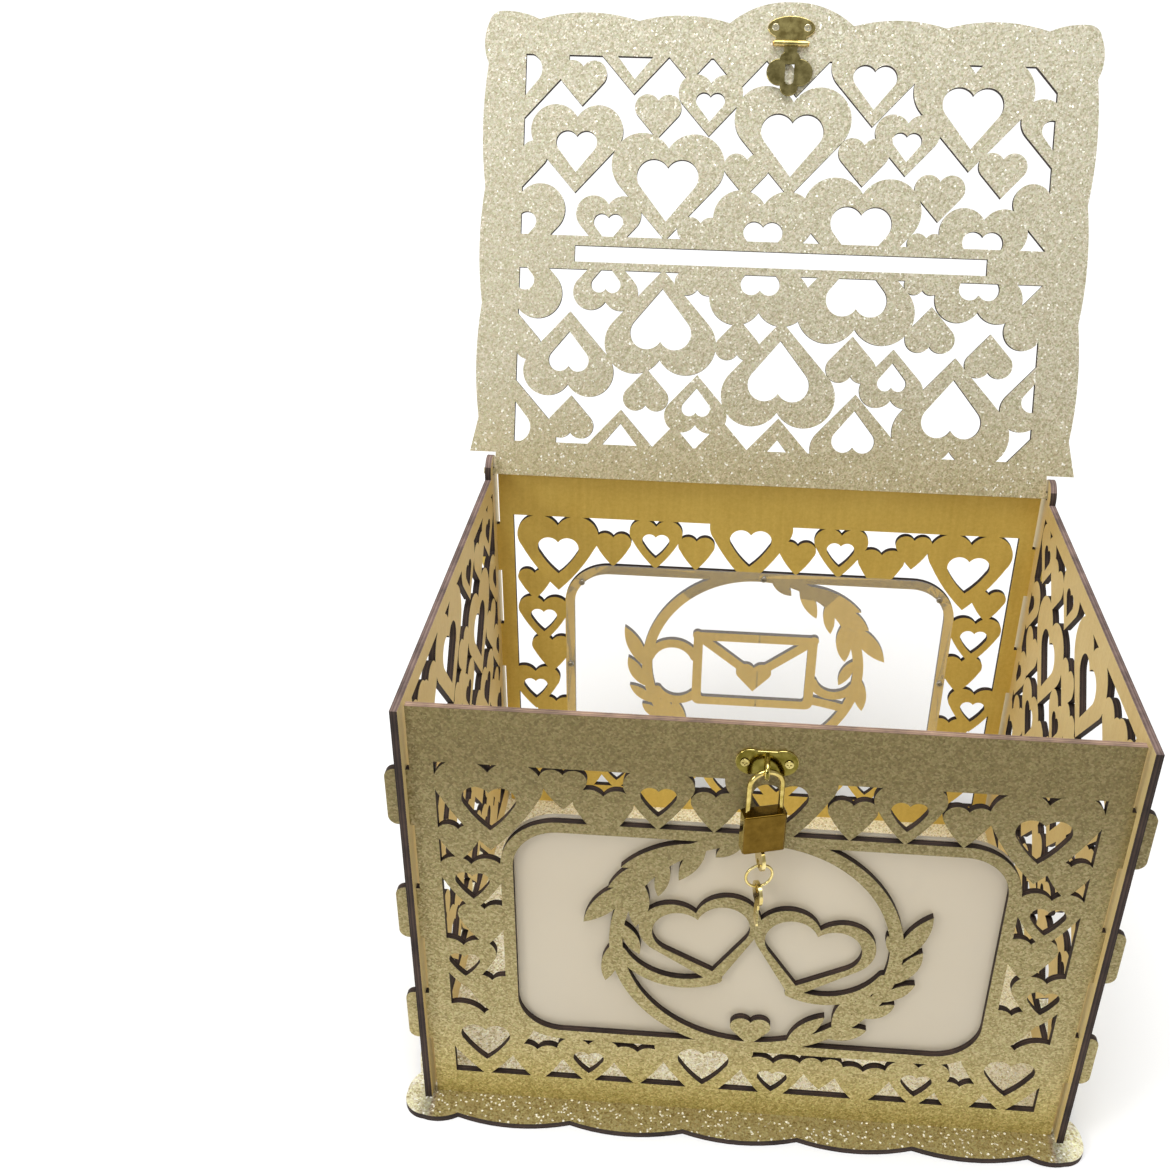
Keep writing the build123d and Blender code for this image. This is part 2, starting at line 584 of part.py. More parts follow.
def hasp_leaf():
    """Oval leaf screwed to the lid, with two knuckles."""
    outline = Pos(0, LEAF_UP) * Ellipse(LEAF_WIDTH / 2, LEAF_HEIGHT / 2)
    outline += upright_rectangle(-LEAF_FOOT_HALF, KNUCKLE_UP, LEAF_FOOT_HALF, LEAF_UP)
    relief = upright_rectangle(
        -FLAP_KNUCKLE_HALF - KNUCKLE_GAP, 0, FLAP_KNUCKLE_HALF + KNUCKLE_GAP,
        KNUCKLE_UP + KNUCKLE_RADIUS + 0.3,
    )
    below = upright_rectangle(-LEAF_WIDTH, 0, LEAF_WIDTH, KNUCKLE_UP)
    holes = [Pos(x, LEAF_UP) * Circle(SMALL_SCREW + KERF) for x in (-LEAF_SCREW_X, LEAF_SCREW_X)]
    sheet = rounded_sheet(outline - [relief, below]) - extrude(holes[0] + holes[1], BRASS_SHEET)
    inner = FLAP_KNUCKLE_HALF + KNUCKLE_GAP
    leaf_body = sheet + [knuckle(-KNUCKLE_HALF, -inner), knuckle(inner, KNUCKLE_HALF)]
    return Pos(HASP_X, 0, 0) * (leaf_body - pin_bore())


def hasp_flap():
    """Quatrefoil flap with the slot that drops over the staple."""
    middle = KNUCKLE_UP - FLAP_CENTRE_DOWN
    lobes = [Pos(across, middle + up) * Circle(radius) for across, up, radius in FLAP_LOBES]
    neck = upright_rectangle(-FLAP_KNUCKLE_HALF, middle, FLAP_KNUCKLE_HALF, KNUCKLE_UP)
    slot_high = middle + HASP_SLOT_LENGTH * 0.4
    slot_low = slot_high - HASP_SLOT_LENGTH + HASP_SLOT_WIDTH / 2
    slot = upright_rectangle(-HASP_SLOT_WIDTH / 2, slot_low, HASP_SLOT_WIDTH / 2, slot_high)
    slot += Pos(0, slot_low) * Circle(HASP_SLOT_WIDTH / 2)
    face = lobes[0] + lobes[1:] + [neck]
    low = KNUCKLE_PROUD - BRASS_SHEET / 2
    sheet = Pos(0, 0, low) * (rounded_sheet(face) - extrude(slot, BRASS_SHEET))
    body = sheet + knuckle(-FLAP_KNUCKLE_HALF, FLAP_KNUCKLE_HALF)
    return Pos(HASP_X, 0, 0) * (body - pin_bore())


def hasp_pin():
    """Pin through the hasp's knuckles, with two small heads."""
    reach = KNUCKLE_HALF + 0.1
    rod = Cylinder(HASP_PIN_RADIUS, 2 * reach)
    heads = [Pos(0, 0, side * (reach + 0.25)) * Cylinder(1.1, 0.5) for side in (-1, 1)]
    return Pos(HASP_X, KNUCKLE_UP, KNUCKLE_PROUD) * Rot(0, 90, 0) * (rod + heads)


def small_screw():
    """Round-headed screw of the hasp and the staple."""
    whole = screw(SMALL_SCREW, BRASS_SHEET + SMALL_SCREW_INTO, SMALL_SCREW_HEAD, SMALL_SCREW_RISE)
    dimple = Pos(0, 0, SMALL_SCREW_RISE) * Cone(0.3, SMALL_SCREW, SMALL_SCREW_RISE)
    return whole - dimple


def hasp_leaf_screws():
    return Compound([
        on_lid(Pos(HASP_X + x, LEAF_UP, BRASS_SHEET) * small_screw()).solid()
        for x in (-LEAF_SCREW_X, LEAF_SCREW_X)
    ])


def lid_panel():
    holes = [
        Pos(HASP_X + x, LEAF_UP, 0) * Cylinder(SMALL_SCREW + KERF, 2 * (SMALL_SCREW_INTO + KERF))
        for x in (-LEAF_SCREW_X, LEAF_SCREW_X)
    ]
    return lid_panel_flat() - holes


# ---------------------------------------------------------------- staple
STAPLE_X = 0.0
STAPLE_Z = WALL_FOOT + 192.5
STAPLE_END = 5.7             # radius of the plate's round ends
STAPLE_END_X = 6.0
STAPLE_WAIST = 10.4
STAPLE_SCREW_X = 8.2
STAPLE_WIRE = 1.0            # radius of the loop's wire
LOOP_RADIUS = 2.9            # radius of the loop's bend, to the wire's middle
LOOP_LEGS = 4.5
STAPLE_FACE = FRONT_FACE - BRASS_SHEET


def staple():
    """Oval plate with a wire loop that stands out in the vertical plane."""
    ends = [Pos(x, 0) * Circle(STAPLE_END) for x in (-STAPLE_END_X, STAPLE_END_X)]
    outline = Rectangle(2 * STAPLE_END_X, STAPLE_WAIST) + ends
    holes = [Pos(x, 0) * Circle(SMALL_SCREW + KERF) for x in (-STAPLE_SCREW_X, STAPLE_SCREW_X)]
    plate = rounded_sheet(outline) - extrude(holes[0] + holes[1], BRASS_SHEET)
    plate = Pos(STAPLE_X, FRONT_FACE, STAPLE_Z) * Rot(90, 0, 0) * plate
    root = STAPLE_FACE + BRASS_SHEET / 2
    bend = STAPLE_FACE - LOOP_LEGS
    high = STAPLE_Z + LOOP_RADIUS
    low = STAPLE_Z - LOOP_RADIUS
    path = [
        Line((STAPLE_X, root, high), (STAPLE_X, bend, high)),
        ThreePointArc(
            (STAPLE_X, bend, high), (STAPLE_X, bend - LOOP_RADIUS, STAPLE_Z), (STAPLE_X, bend, low)
        ),
        Line((STAPLE_X, bend, low), (STAPLE_X, root, low)),
    ]
    section = Plane((STAPLE_X, root, high), x_dir=(1, 0, 0), z_dir=(0, -1, 0)) * Circle(STAPLE_WIRE)
    return plate + sweep(section, path=Wire([line.edge() for line in path]))


def staple_screw_holes():
    return [
        Pos(STAPLE_X + x, FRONT_FACE, STAPLE_Z)
        * Rot(90, 0, 0)
        * Cylinder(SMALL_SCREW + KERF, 2 * (SMALL_SCREW_INTO + KERF))
        for x in (-STAPLE_SCREW_X, STAPLE_SCREW_X)
    ]


def staple_screws():
    return Compound([
        (Pos(STAPLE_X + x, STAPLE_FACE, STAPLE_Z) * Rot(90, 0, 0) * small_screw()).solid()
        for x in (-STAPLE_SCREW_X, STAPLE_SCREW_X)
    ])


# ---------------------------------------------------------------- padlock
# Drawn about the middle of the shackle's crown, where it hangs in the staple:
# x across the padlock, y through it (front is -Y), z up.
PADLOCK_YAW = 16.0           # turned a little on the staple
HANG_OUT = LOOP_LEGS + 0.2    # crown of the shackle, out from the staple's plate
HANG_DOWN = 0.55             # crown of the shackle, below the staple's middle
PADLOCK_HANG = Pos(STAPLE_X, STAPLE_FACE - HANG_OUT, STAPLE_Z - HANG_DOWN) * Rot(0, 0, PADLOCK_YAW)
SHACKLE_WIRE = 1.05
SHACKLE_BEND = 6.3
BODY_TOP = -18.1
LOCK_WIDTH = 16.8
LOCK_HEIGHT = 17.5
LOCK_THICKNESS = 6.8
LOCK_CORNER = 1.3
LOCK_SHOULDER = 0.6
LOCK_FOOT_EDGE = 0.4
LOCK_FLOOR = 1.4             # brass left below the long leg's bore
BORE_PLAY = 0.07
LONG_LEG_IN = 11.0
SHORT_LEG_IN = 4.7
PLUG_RADIUS = 2.6
PLUG_LENGTH = 11.0
TAIL_RADIUS = 1.0
LATCH_SECTION = 2.2
LATCH_LENGTH = 5.6
LATCH_NOSE = 4.9
LATCH_Z = BODY_TOP - 2.6
NOTCH_FLOOR = 5.9
KEYWAY_WIDTH = 1.1
KEYWAY_HEIGHT = 4.0
BODY_BOTTOM = BODY_TOP - LOCK_HEIGHT
PLUG_TOP = BODY_BOTTOM + PLUG_LENGTH


def shackle():
    """Wire shackle: long leg on the left, short notched leg on the right."""
    crown = -SHACKLE_BEND
    long_end = BODY_TOP - LONG_LEG_IN
    short_end = BODY_TOP - SHORT_LEG_IN
    path = [
        Line((-SHACKLE_BEND, 0, long_end), (-SHACKLE_BEND, 0, crown)),
        ThreePointArc((-SHACKLE_BEND, 0, crown), (0, 0, 0), (SHACKLE_BEND, 0, crown)),
        Line((SHACKLE_BEND, 0, crown), (SHACKLE_BEND, 0, short_end)),
    ]
    section = Pos(-SHACKLE_BEND, 0, long_end) * Circle(SHACKLE_WIRE)
    wire = sweep(section, path=Wire([line.edge() for line in path]))
    half = LATCH_SECTION / 2 + 0.3
    notch_from = SHACKLE_BEND - SHACKLE_WIRE - 1
    notch = Pos((notch_from + NOTCH_FLOOR) / 2, 0, LATCH_Z) * Box(
        NOTCH_FLOOR - notch_from, 4, 2 * half
    )
    return wire - notch


def padlock_body():
    """Brass block bored for the shackle, the plug and the latch."""
    block = Pos(0, 0, BODY_TOP) * Box(LOCK_WIDTH, LOCK_THICKNESS, LOCK_HEIGHT, align=FROM_TOP)
    block = fillet(block.edges().filter_by(Axis.Z), LOCK_CORNER)
    block = fillet(block.faces().sort_by(Axis.Z)[-1].edges(), LOCK_SHOULDER)
    block = chamfer(block.faces().sort_by(Axis.Z)[0].edges(), LOCK_FOOT_EDGE)
    leg = SHACKLE_WIRE + BORE_PLAY
    long_bore = Pos(-SHACKLE_BEND, 0, BODY_TOP) * Cylinder(leg, LOCK_HEIGHT - LOCK_FLOOR, align=FROM_TOP)
    short_bore = Pos(SHACKLE_BEND, 0, BODY_TOP) * Cylinder(leg, SHORT_LEG_IN + 0.6, align=FROM_TOP)
    plug_bore = Pos(0, 0, PLUG_TOP + 0.1) * Cylinder(
        PLUG_RADIUS + BORE_PLAY, PLUG_LENGTH + 1, align=FROM_TOP
    )
    tail_bore = Pos(0, 0, LATCH_Z) * Cylinder(TAIL_RADIUS + 0.2, LATCH_Z - PLUG_TOP, align=FROM_TOP)
    channel_from = LATCH_NOSE - LATCH_LENGTH - 2.8
    channel = Pos((channel_from + SHACKLE_BEND) / 2, 0, LATCH_Z) * Box(
        SHACKLE_BEND - channel_from, LATCH_SECTION + 0.2, LATCH_SECTION + 0.2
    )
    return block - [long_bore, short_bore, plug_bore, tail_bore, channel]


def lock_plug():
    """Plug that the key turns, with its tail towards the latch."""
    barrel = Pos(0, 0, BODY_BOTTOM) * Cylinder(PLUG_RADIUS, PLUG_LENGTH, align=FROM_FOOT)
    tail_height = LATCH_Z - LATCH_SECTION / 2 - 0.3 - PLUG_TOP
    tail = Pos(0, 0, PLUG_TOP) * Cylinder(TAIL_RADIUS, tail_height, align=FROM_FOOT)
    keyway = Pos(0, 0, BODY_BOTTOM) * Box(
        KEYWAY_WIDTH, KEYWAY_HEIGHT, 2 * (PLUG_LENGTH - 0.6)
    )
    return barrel + tail - keyway


def padlock_latch():
    """Sliding latch, drawn back clear of the shackle's notch."""
    return Pos(LATCH_NOSE - LATCH_LENGTH / 2, 0, LATCH_Z) * Box(
        LATCH_LENGTH, LATCH_SECTION, LATCH_SECTION
    )


def coil_spring(radius, wire, length, turns):
    """Coil spring along Z from z = 0."""
    line = Helix(pitch=(length - 2 * wire) / turns, height=length - 2 * wire, radius=radius)
    section = Plane(origin=line @ 0, z_dir=line % 0) * Circle(wire)
    return Pos(0, 0, wire) * sweep(section, path=line)


def latch_spring():
    start = LATCH_NOSE - LATCH_LENGTH - 2.7
    return Pos(start, 0, LATCH_Z) * Rot(0, 90, 0) * coil_spring(0.8, 0.15, 2.6, 5)


def shackle_spring():
    floor = BODY_BOTTOM + LOCK_FLOOR
    room = BODY_TOP - LONG_LEG_IN - floor - 0.1
    return Pos(-SHACKLE_BEND, 0, floor + 0.05) * coil_spring(0.8, 0.2, room - 0.1, 7)


# Keys and their ring
KEY_BOW = 5.0
KEY_BOW_THICKNESS = 1.4
KEY_BLADE_THICKNESS = 0.9
KEY_BLADE_HEIGHT = 3.8
KEY_HOLE = 1.9
KEY_HOLE_OUT = 2.5           # hole's middle, out from the bow's middle
KEY_BLADE_LENGTH = 10.6
RING_RADIUS = 5.3
RING_WIRE = 0.55
RING_PLAY = 0.3
KEY_HOLE_Z = BODY_BOTTOM - 0.4 - KEY_BOW - KEY_HOLE_OUT
RING_TOP = KEY_HOLE_Z - KEY_HOLE + RING_WIRE + RING_PLAY
RING_CENTRE_Z = RING_TOP - RING_RADIUS
SPARE_HOLE_Z = RING_CENTRE_Z - RING_RADIUS + RING_WIRE + RING_PLAY - KEY_HOLE


def key():
    """Flat key in the YZ plane: origin at the bow's hole, blade towards +Z."""
    bow = Pos(KEY_HOLE_OUT, 0) * Circle(KEY_BOW) - Circle(KEY_HOLE)
    bow = extrude(bow, KEY_BOW_THICKNESS)
    blade_from = KEY_HOLE_OUT + KEY_BOW - 1
    blade = Pos(blade_from, 0) * Rectangle(
        KEY_BLADE_LENGTH + 1, KEY_BLADE_HEIGHT, align=(Align.MIN, Align.CENTER)
    )
    cuts = [
        Pos(blade_from + along, KEY_BLADE_HEIGHT / 2) * Rot(0, 0, 45) * Rectangle(deep, deep)
        for along, deep in ((4.0, 1.0), (5.8, 1.5), (7.6, 0.9), (9.4, 1.4))
    ]
    point = Pos(blade_from + KEY_BLADE_LENGTH + 1, -KEY_BLADE_HEIGHT / 2)
    cuts.append(point * Rot(0, 0, 45) * Rectangle(2.4, 2.4))
    lift = (KEY_BOW_THICKNESS - KEY_BLADE_THICKNESS) / 2
    blade = Pos(0, 0, lift) * extrude(blade - cuts, KEY_BLADE_THICKNESS)
    return Rot(0, -90, 0) * Pos(0, 0, -KEY_BOW_THICKNESS / 2) * (bow + blade)


def lock_key():
    return Pos(0, 0, KEY_HOLE_Z) * key()


def spare_key():
    return Pos(0, 0, SPARE_HOLE_Z) * Rot(180, 0, 0) * key()


def key_ring():
    return Pos(0, 0, RING_CENTRE_Z) * Rot(90, 0, 0) * Torus(RING_RADIUS, RING_WIRE)


# ---------------------------------------------------------------- all the nodes
FRONT_PANE_Y = FRONT_FACE + PLY
BACK_PANE_Y = BACK_FACE - PLY - PANE_THICKNESS


def nodes():
    """Every separate piece by the name of its node."""
    return {
        "base_plate": base_plate(),
        "front_wall": front_wall(),
        "back_wall": back_wall(),
        "left_wall": side_wall(-BODY_WIDTH / 2),
        "right_wall": side_wall(SIDE_INNER),
        "front_pane": pane(FRONT_PANE_Y),
        "back_pane": pane(BACK_PANE_Y),
        "front_pane_screws": pane_screws(FRONT_PANE_Y + PANE_THICKNESS, 1),
        "back_pane_screws": pane_screws(BACK_PANE_Y, -1),
        "lid_panel": on_lid(lid_panel()),
        "hasp_leaf": on_lid(hasp_leaf()),
        "hasp_leaf_screws": hasp_leaf_screws(),
        "hasp_pin": on_lid(hasp_pin()),
        "hasp_flap": on_lid(hasp_flap()),
        "staple": staple(),
        "staple_screws": staple_screws(),
        "padlock_shackle": PADLOCK_HANG * shackle(),
        "padlock_body": PADLOCK_HANG * padlock_body(),
        "lock_plug": PADLOCK_HANG * lock_plug(),
        "padlock_latch": PADLOCK_HANG * padlock_latch(),
        "latch_spring": PADLOCK_HANG * latch_spring(),
        "shackle_spring": PADLOCK_HANG * shackle_spring(),
        "lock_key": PADLOCK_HANG * lock_key(),
        "key_ring": PADLOCK_HANG * key_ring(),
        "spare_key": PADLOCK_HANG * spare_key(),
    }


os.makedirs("parts", exist_ok=True)
for name, shape in nodes().items():
    export_step(shape, f"parts/{name}.step")
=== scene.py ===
import json
import math

import bpy
from mathutils import Matrix, Vector


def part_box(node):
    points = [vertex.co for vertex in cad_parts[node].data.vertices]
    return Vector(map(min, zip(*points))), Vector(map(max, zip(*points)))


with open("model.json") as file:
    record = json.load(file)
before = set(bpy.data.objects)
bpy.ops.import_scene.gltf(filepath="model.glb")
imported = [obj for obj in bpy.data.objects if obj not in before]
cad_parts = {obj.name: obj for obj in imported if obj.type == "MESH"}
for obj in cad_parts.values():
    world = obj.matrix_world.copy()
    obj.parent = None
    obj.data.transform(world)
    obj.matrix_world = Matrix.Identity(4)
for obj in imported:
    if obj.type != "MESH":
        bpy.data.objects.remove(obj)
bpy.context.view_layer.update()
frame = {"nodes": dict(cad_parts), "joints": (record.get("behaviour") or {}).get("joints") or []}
nodes = frame["nodes"]
scene = bpy.context.scene

MM = 0.001
PLY = 3 * MM                 # thickness of every plywood sheet


# ---------------------------------------------------------------- shader helpers
def new_material(name):
    """Empty node material with its output's surface free: (material, nodes, links)."""
    material = bpy.data.materials.new(name)
    material.use_nodes = True
    tree = material.node_tree
    tree.nodes.clear()
    return material, tree.nodes, tree.links


def shader(tree_nodes, links, **values):
    """Principled shader joined to an output; values are sockets by name."""
    principled = tree_nodes.new("ShaderNodeBsdfPrincipled")
    output = tree_nodes.new("ShaderNodeOutputMaterial")
    links.new(principled.outputs["BSDF"], output.inputs["Surface"])
    for name, value in values.items():
        principled.inputs[name.replace("_", " ")].default_value = value
    return principled


def object_place(tree_nodes, links, scale=(1, 1, 1)):
    """Object coordinates in metres, stretched."""
    place = tree_nodes.new("ShaderNodeTexCoord")
    mapping = tree_nodes.new("ShaderNodeMapping")
    mapping.inputs["Scale"].default_value = scale
    links.new(place.outputs["Object"], mapping.inputs["Vector"])
    return mapping.outputs["Vector"]


def noise(tree_nodes, links, vector, scale, detail, roughness):
    """Smooth random value around a half."""
    node = tree_nodes.new("ShaderNodeTexNoise")
    node.inputs["Scale"].default_value = scale
    node.inputs["Detail"].default_value = detail
    node.inputs["Roughness"].default_value = roughness
    links.new(vector, node.inputs["Vector"])
    return node.outputs["Fac"]


def cells(tree_nodes, links, vector, scale):
    """Random colour for each cell of a 3-D Voronoi pattern."""
    node = tree_nodes.new("ShaderNodeTexVoronoi")
    node.inputs["Scale"].default_value = scale
    links.new(vector, node.inputs["Vector"])
    return node.outputs["Color"]


def ramp(tree_nodes, links, value, stops):
    """Colour ramp with stops (position, (r, g, b))."""
    node = tree_nodes.new("ShaderNodeValToRGB")
    bar = node.color_ramp
    while len(bar.elements) < len(stops):
        bar.elements.new(0.5)
    for element, (position, colour) in zip(bar.elements, stops):
        element.position = position
        element.color = (*colour, 1)
    links.new(value, node.inputs["Fac"])
    return node.outputs["Color"]


def sums(tree_nodes, links, operation, first, second, third=None):
    """Math node on sockets or numbers."""
    node = tree_nodes.new("ShaderNodeMath")
    node.operation = operation
    for index, value in enumerate((first, second, third)):
        if value is None:
            continue
        if isinstance(value, (int, float)):
            node.inputs[index].default_value = value
        else:
            links.new(value, node.inputs[index])
    return node.outputs[0]


def mixed(tree_nodes, links, factor, first, second, blend="MIX"):
    """Two colours mixed: each is a socket or (r, g, b)."""
    node = tree_nodes.new("ShaderNodeMix")
    node.data_type = "RGBA"
    node.blend_type = blend
    for socket, value in ((node.inputs[0], factor), (node.inputs[6], first), (node.inputs[7], second)):
        if isinstance(value, (int, float)):
            socket.default_value = value
        elif isinstance(value, tuple):
            socket.default_value = (*value, 1)
        else:
            links.new(value, socket)
    return node.outputs[2]


def span(tree_nodes, links, value, low, high):
    """Value from 0..1 stretched to low..high."""
    node = tree_nodes.new("ShaderNodeMapRange")
    node.inputs["To Min"].default_value = low
    node.inputs["To Max"].default_value = high
    links.new(value, node.inputs["Value"])
    return node.outputs["Result"]


def bumped(tree_nodes, links, height, distance):
    """Surface normal for a relief of the given height in metres."""
    node = tree_nodes.new("ShaderNodeBump")
    node.inputs["Strength"].default_value = 1.0
    node.inputs["Distance"].default_value = distance
    links.new(height, node.inputs["Height"])
    return node.outputs["Normal"]


# ---------------------------------------------------------------- materials
FLAKE = 0.75 * MM            # size of one flake of glitter
CLUMP = 1.6 * MM             # size of the lighter and darker clumps of flakes
BLACK, WHITE = (0, 0, 0), (1, 1, 1)


def glitter(name, tones, sparkle, painted_shades, tilt=0.3, metal=0.3):
    """Glitter paper: fine flakes of random tone that each tilt their own way.

    Each painted shade is (axis, from, to, stops): painted light and shade that runs along that axis.
    Where there are two, the lighter of them counts. Sparkle is the share of flakes
    that glint: they are smoother, and their near-white colour is a painted glint.
    """
    material, tree, links = new_material(name)
    principled = shader(tree, links, Metallic=metal)
    place = object_place(tree, links)
    flake = cells(tree, links, place, 1 / FLAKE)
    parts = tree.new("ShaderNodeSeparateColor")
    links.new(flake, parts.inputs["Color"])
    clump = noise(tree, links, place, 1 / CLUMP, 2.0, 0.6)
    level = sums(tree, links, "MULTIPLY_ADD", parts.outputs["Red"], 0.5, 0.0)
    level = sums(tree, links, "MULTIPLY_ADD", clump, 0.5, level)
    colour = ramp(tree, links, level, list(zip((0.2, 0.5, 0.8), tones)))
    tint = ramp(tree, links, parts.outputs["Green"], [
        (0.0, (0.95, 1.02, 0.88)), (0.5, WHITE), (1.0, (1.05, 0.98, 1.0)),
    ])
    colour = mixed(tree, links, 0.8, colour, tint, "MULTIPLY")
    along = tree.new("ShaderNodeSeparateXYZ")
    links.new(place, along.inputs["Vector"])
    # Painted light and shade: the lighter of the tints along each axis, multiplied into the flake colour
    shade = BLACK
    for axis, start, stop, stops in painted_shades:
        level = sums(tree, links, "SUBTRACT", along.outputs[axis], start)
        level = sums(tree, links, "DIVIDE", level, stop - start)
        shade = mixed(tree, links, 1.0, shade, ramp(tree, links, level, stops), "LIGHTEN")
    colour = mixed(tree, links, 1.0, colour, shade, "MULTIPLY")
    # Painted glint: the share of flakes given by sparkle turn near-white and smoother; the smoothness is
    # real, the pale colour is a painted highlight
    peak = 1.0 if sparkle else 0.0
    glint = ramp(tree, links, parts.outputs["Blue"], [
        (0.0, BLACK), (1 - sparkle, BLACK), (1 - sparkle / 2, (peak, peak, peak)),
    ])
    colour = mixed(tree, links, glint, colour, (1.0, 0.97, 0.84))
    links.new(colour, principled.inputs["Base Color"])
    links.new(span(tree, links, glint, 0.5, 0.22), principled.inputs["Roughness"])
    lean = tree.new("ShaderNodeVectorMath")
    lean.operation = "SUBTRACT"
    links.new(flake, lean.inputs[0])
    lean.inputs[1].default_value = (0.5, 0.5, 0.5)
    grown = tree.new("ShaderNodeVectorMath")
    grown.operation = "SCALE"
    links.new(lean.outputs[0], grown.inputs[0])
    grown.inputs["Scale"].default_value = tilt
    surface = tree.new("ShaderNodeNewGeometry")
    leant = tree.new("ShaderNodeVectorMath")
    leant.operation = "ADD"
    links.new(grown.outputs[0], leant.inputs[0])
    links.new(surface.outputs["Normal"], leant.inputs[1])
    unit = tree.new("ShaderNodeVectorMath")
    unit.operation = "NORMALIZE"
    links.new(leant.outputs[0], unit.inputs[0])
    links.new(unit.outputs[0], principled.inputs["Normal"])
    return material


GRAIN = (300, 300, 14)               # fibres per metre: the grain runs upward
SCRATCHES = (2600, 2600, 2600)       # scratches per metre, the same every way


def gold_paint(name, low, high):
    """Satin gold paint on bare ply, with the wood's grain showing through."""
    material, tree, links = new_material(name)
    principled = shader(tree, links, Metallic=0.35, Roughness=0.5)
    fibre = noise(tree, links, object_place(tree, links, GRAIN), 1.0, 4.0, 0.6)
    blotch = noise(tree, links, object_place(tree, links), 18.0, 3.0, 0.55)
    speck = noise(tree, links, object_place(tree, links), 1 / CLUMP, 3.0, 0.7)
    level = sums(tree, links, "MULTIPLY_ADD", fibre, 0.3, 0.0)
    level = sums(tree, links, "MULTIPLY_ADD", blotch, 0.35, level)
    level = sums(tree, links, "MULTIPLY_ADD", speck, 0.35, level)
    links.new(ramp(tree, links, level, [(0.3, low), (0.7, high)]), principled.inputs["Base Color"])
    links.new(span(tree, links, fibre, 0.42, 0.58), principled.inputs["Roughness"])
    links.new(bumped(tree, links, fibre, 0.04 * MM), principled.inputs["Normal"])
    return material


def cut_edge(name, across, middle, burnt, wood):
    """Laser-cut plywood edge: scorched veneers with a lighter core line between them."""
    material, tree, links = new_material(name)
    principled = shader(tree, links, Roughness=0.75)
    principled.inputs["Specular IOR Level"].default_value = 0.25
    place = object_place(tree, links)
    depth = tree.new("ShaderNodeVectorMath")
    depth.operation = "DOT_PRODUCT"
    links.new(place, depth.inputs[0])
    depth.inputs[1].default_value = across
    layer = sums(tree, links, "SUBTRACT", depth.outputs["Value"], middle)
    wobble = noise(tree, links, place, 220.0, 3.0, 0.6)
    layer = sums(tree, links, "MULTIPLY_ADD", wobble, 0.5 * MM, layer)
    layer = sums(tree, links, "DIVIDE", layer, PLY)
    layer = sums(tree, links, "ABSOLUTE", layer, 0.0)
    soot = noise(tree, links, place, 70.0, 4.0, 0.65)
    core = ramp(tree, links, layer, [(0.08, wood), (0.2, burnt), (0.38, wood), (0.5, burnt)])
    shade = ramp(tree, links, soot, [(0.35, (0.55, 0.55, 0.55)), (0.7, (1.25, 1.2, 1.15))])
    links.new(mixed(tree, links, 1.0, core, shade, "MULTIPLY"), principled.inputs["Base Color"])
    links.new(bumped(tree, links, soot, 0.15 * MM), principled.inputs["Normal"])
    return material


ACRYLIC_IOR = 1.49


def acrylic(name, low, high, clear, alpha=1.0, glow=0.0):
    """Milky acrylic: light goes through, but little is seen through it.

    A lower alpha makes it clearer. Glow is light that it gives off, which stands in
    for daylight caught in the sheet: real acrylic has none, so 0 suits a dark scene.
    """
    material, tree, links = new_material(name)
    principled = shader(tree, links, Roughness=0.3, IOR=ACRYLIC_IOR, Alpha=alpha)
    principled.inputs["Transmission Weight"].default_value = clear
    principled.inputs["Emission Color"].default_value = (1, 1, 1, 1)
    principled.inputs["Emission Strength"].default_value = glow
    haze = noise(tree, links, object_place(tree, links), 9.0, 3.0, 0.5)
    links.new(ramp(tree, links, haze, [(0.3, low), (0.7, high)]), principled.inputs["Base Color"])
    return material


def brass(name, low, high, rough):
    """Polished metal with faint scratches and dull patches."""
    material, tree, links = new_material(name)
    principled = shader(tree, links, Metallic=1.0)
    place = object_place(tree, links)
    patch = noise(tree, links, place, 260.0, 4.0, 0.6)
    fine = noise(tree, links, object_place(tree, links, SCRATCHES), 1.0, 3.0, 0.7)
    links.new(ramp(tree, links, patch, [(0.35, low), (0.65, high)]), principled.inputs["Base Color"])
    links.new(span(tree, links, patch, *rough), principled.inputs["Roughness"])
    links.new(bumped(tree, links, fine, 0.012 * MM), principled.inputs["Normal"])
    return material


# ---------------------------------------------------------------- plywood sheets
REST_ANGLE = math.radians(113.4)     # how far the lid stands open, from closed
LID_OUT = Vector((0, -math.sin(REST_ANGLE), -math.cos(REST_ANGLE)))
X, Y, Z = Vector((1, 0, 0)), Vector((0, 1, 0)), Vector((0, 0, 1))
PIVOT = Vector(next(joint["pos_m"] for joint in frame["joints"] if joint["name"] == "lid_hinge"))

BURNT = (0.02, 0.014, 0.013)         # scorched veneer, then the wood between
WOOD = (0.06, 0.038, 0.028)
# Lighter edge colours for the upward faces of the top edges: painted highlight
FRONT_LIT_RIM = ((0.2, 0.13, 0.1), (0.42, 0.29, 0.21))
SIDE_LIT_RIM = ((0.12, 0.08, 0.07), (0.25, 0.18, 0.16))
LIT_RIM_BAND = 15 * MM                   # upward edges this near the top are painted lighter, as a painted highlight
FLAT = 0.9                           # a face is a sheet's flat side beyond this cosine

# Painted light, shade and reflection as (axis, from, to, stops): tints that lighten, darken or gild the
# paper along an axis
# Painted shade: the lid is darker towards its lower end and lightest at the top
LID_PAINTED_SHADE = ("Z", 205 * MM, 415 * MM, [
    (0.0, (0.8, 0.73, 0.56)), (0.25, (0.88, 0.86, 0.82)), (0.95, WHITE),
])
# Painted shade darkens the walls upward; their golden bottom is a painted reflection of the base
WALL_PAINTED_SHADE = ("Z", 0, 210 * MM, [
    (0.03, (1, 0.97, 0.7)), (0.15, (0.87, 0.86, 0.8)), (0.24, (0.75, 0.75, 0.74)),
    (0.76, (0.46, 0.445, 0.4)), (0.9, (0.36, 0.335, 0.26)),
])
